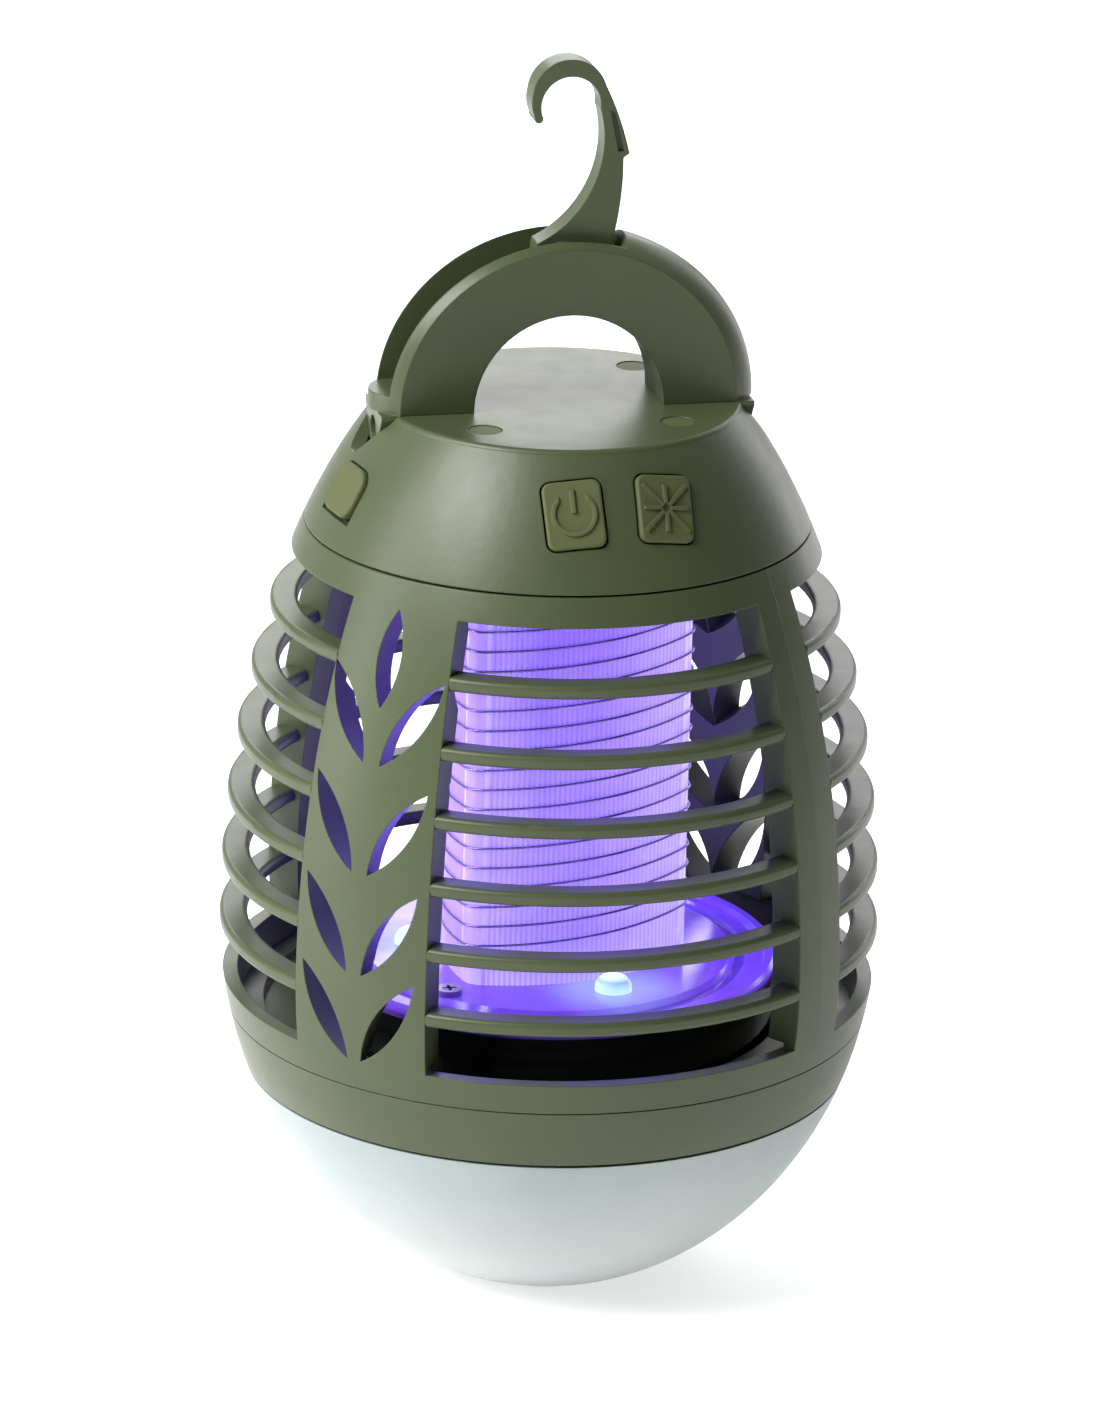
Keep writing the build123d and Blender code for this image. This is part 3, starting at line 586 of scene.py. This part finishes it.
def placed(name, data, node, body, slot_name):
    """Puts a finished mesh or curve in the scene, in place of its CAD node."""
    piece = bpy.data.objects.new(name, data)
    bpy.context.scene.collection.objects.link(piece)
    data.materials.append(finishes[slot_name])
    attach(piece, body)
    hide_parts(node)
    return piece


def wall_mesh(name, points, low, high, levels):
    """Upright wall over a closed outline."""
    mesh = bpy.data.meshes.new(name)
    count = len(points)
    verts = [(p.x, p.y, low + (high - low) * k / (levels - 1))
             for k in range(levels) for p in points]
    faces = [(k * count + i, k * count + (i + 1) % count,
              (k + 1) * count + (i + 1) % count, (k + 1) * count + i)
             for k in range(levels - 1) for i in range(count)]
    mesh.from_pydata(verts, [], faces)
    mesh.shade_smooth()
    return mesh


column_mesh = wall_mesh("fluted_column", fluted, COLUMN_LOW, COLUMN_HIGH, COLUMN_LEVELS)
# The groove depth stored here sets the painted shade in the grooves.
groove_depth = column_mesh.attributes.new("groove", "FLOAT", "POINT")
groove_depth.data.foreach_set("value", grooves * COLUMN_LEVELS)
placed("fluted_column", column_mesh, "uv_column", "head", "lavender_tube")
print("column faces:", len(column_mesh.polygons))

# %% [markdown]
# ## The live wires
# Two wires of opposite charge wind round the column side by side, like a double thread, so an
# insect bridges them anywhere it lands. A curve with a round bevel is the light way to make a
# wire: we give the path, and Blender draws the rod round it. The path is the column's outline,
# grown a little, rising by one pitch on each turn.

# %% Live wires
WIRE_R = 0.16 * MM
WIRE_CLEARANCE = 0.06 * MM
WIRE_PITCH = 5.6 * MM
WIRE_TURNS = 9.6
WIRE_STEP = 0.5 * MM
WIRE_START = 40
WIRE_ROUNDNESS = 2


def helix(name, node, low):
    """A live wire wound round the column, as a thin round rod."""
    outline, _ = column_outline(WIRE_R + WIRE_CLEARANCE, WIRE_STEP)
    count = len(outline)
    total = int(WIRE_TURNS * count)
    curve = bpy.data.curves.new(name, "CURVE")
    curve.dimensions = "3D"
    spline = curve.splines.new("POLY")
    spline.points.add(total)
    for i in range(total + 1):
        p = outline[(i + WIRE_START) % count]
        spline.points[i].co = (p.x, p.y, low + WIRE_PITCH * i / count, 1)
    curve.bevel_depth = WIRE_R
    curve.bevel_resolution = WIRE_ROUNDNESS
    curve.use_fill_caps = True
    placed(name, curve, node, "head", "steel_wire")
    return total + 1


wire_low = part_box("live_wire_a")[0][2]
print("points on wire a:", helix("wire_helix_a", "live_wire_a", wire_low))
print("points on wire b:", helix("wire_helix_b", "live_wire_b", wire_low + WIRE_PITCH / 2))

# %% [markdown]
# ## The room
# Satin plastic shows the room around it more than the lamps. A white world that is dim in front
# and bright behind keeps the front of the egg a full olive and gives its sides a pale rim. The
# Generated coordinate of a world is the direction looked in, so its Y does that in one ramp.

# %% Room
ROOM_FRONT = 0.12
ROOM_BACK = 0.8
ROOM_TURNS = (-0.2, 0.7)
WHITE = (1, 1, 1)


def room():
    """White world, dim in front and bright behind."""
    world = bpy.data.worlds.new("world")
    bpy.context.scene.world = world
    world.use_nodes = True
    tree = world.node_tree
    place = tree.nodes.new("ShaderNodeTexCoord")
    split = tree.nodes.new("ShaderNodeSeparateXYZ")
    tree.links.new(place.outputs["Generated"], split.inputs["Vector"])
    share = remapped(tree, split.outputs["Y"], ROOM_TURNS, (ROOM_FRONT, ROOM_BACK))
    tree.links.new(share, tree.nodes["Background"].inputs["Strength"])
    tree.nodes["Background"].inputs["Color"].default_value = (*WHITE, 1)


room()
print("room from", ROOM_FRONT, "to", ROOM_BACK)

# %% [markdown]
# ## The floor
# The lantern stands on a large pale floor. The floor gives off some light of its own, which
# does what a lit table does in a studio: it fades the shadow and brightens the lens from below.

# %% Floor
FLOOR_REACH = 6
FLOOR_WHITE = 0.94
FLOOR_GLOW = 0.46


def lay_floor():
    """Large square floor under the lantern's foot, slightly lit."""
    mesh = bpy.data.meshes.new("floor")
    floor = bpy.data.objects.new("floor", mesh)
    corners = ((-1, -1), (1, -1), (1, 1), (-1, 1))
    mesh.from_pydata([(x * FLOOR_REACH, y * FLOOR_REACH, 0) for x, y in corners], [],
                     [(0, 1, 2, 3)])
    bpy.context.scene.collection.objects.link(floor)
    material, _, shader = new_material("floor_white")
    shader.inputs["Base Color"].default_value = (*(FLOOR_WHITE,) * 3, 1)
    shader.inputs["Roughness"].default_value = 0.7
    shader.inputs["Emission Color"].default_value = (*WHITE, 1)
    shader.inputs["Emission Strength"].default_value = FLOOR_GLOW
    mesh.materials.append(material)


lay_floor()
print("floor side:", 2 * FLOOR_REACH, "m")

# %% [markdown]
# ## The lamps
# Large area lamps give the soft edge that a softbox gives. The key lamp stands high on the left
# and makes the bright stripe down the cap. A weaker one fills the left side, and two behind draw
# a thin line of light along the handle, the hook and the right-hand slats.

# %% Lamps outside
def lamp(name, place, target, energy, size, colour=WHITE, body=None):
    """An area lamp that points at target; a lamp inside rides on its body."""
    data = bpy.data.lights.new(name, "AREA")
    data.energy, data.color = energy, colour
    data.shape, data.size, data.size_y = "RECTANGLE", size[0], size[1]
    obj = bpy.data.objects.new(name, data)
    bpy.context.scene.collection.objects.link(obj)
    obj.location = place
    aim = Vector(target) - Vector(place)
    obj.rotation_euler = aim.to_track_quat("-Z", "Y").to_euler()
    obj.visible_camera = False
    if body:
        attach(obj, body)


lamp("key_light", (-0.50, -0.18, 0.60), (0, 0, 0.09), 10.0, (0.42, 0.34))
lamp("side_light", (-0.70, 0.05, 0.25), (0, 0, 0.07), 2.6, (0.20, 0.50))
lamp("rim_right", (0.55, 0.42, 0.30), (0, 0, 0.09), 1.2, (0.25, 0.60))
lamp("back_light", (0.17, 0.72, 0.42), (0, 0, 0.12), 2.2, (0.60, 0.25))
print("lamps outside:", len(bpy.data.lights))

# %% [markdown]
# ## The violet light inside
# The column's own glow is too weak to light the cage in a short render. Six small upright lamps
# stand just outside it, face outwards and ride with the head, so their light leaves the cage
# when the column does. The keys of the table are turns round the lantern in degrees, and the
# front gets the least, because there the cage is seen from outside.

# %% Lamps inside
VIOLET = (0.13, 0.03, 1.0)
GLOW_RADIUS = 22.5 * MM
GLOW_MIDDLE = Vector((0, 0, 72 * MM))
GLOW_SIZE = (16 * MM, 50 * MM)
GLOW_LAMPS = {-47: 0.004, 13: 0.003, 73: 0.006, 133: 0.014, 193: 0.014, 253: 0.010}
for turn, power in GLOW_LAMPS.items():
    side = Vector((sin(radians(turn)), -cos(radians(turn)), 0))
    lamp(f"glow_{turn + 47}", side * GLOW_RADIUS + GLOW_MIDDLE, side + GLOW_MIDDLE, power,
         GLOW_SIZE, VIOLET, "head")
print("lamps in all:", len(bpy.data.lights))

# %% [markdown]
# The colours were chosen for the plain Standard view, which leaves them as they are.

# %% Finish
bpy.context.scene.view_settings.view_transform = "Standard"
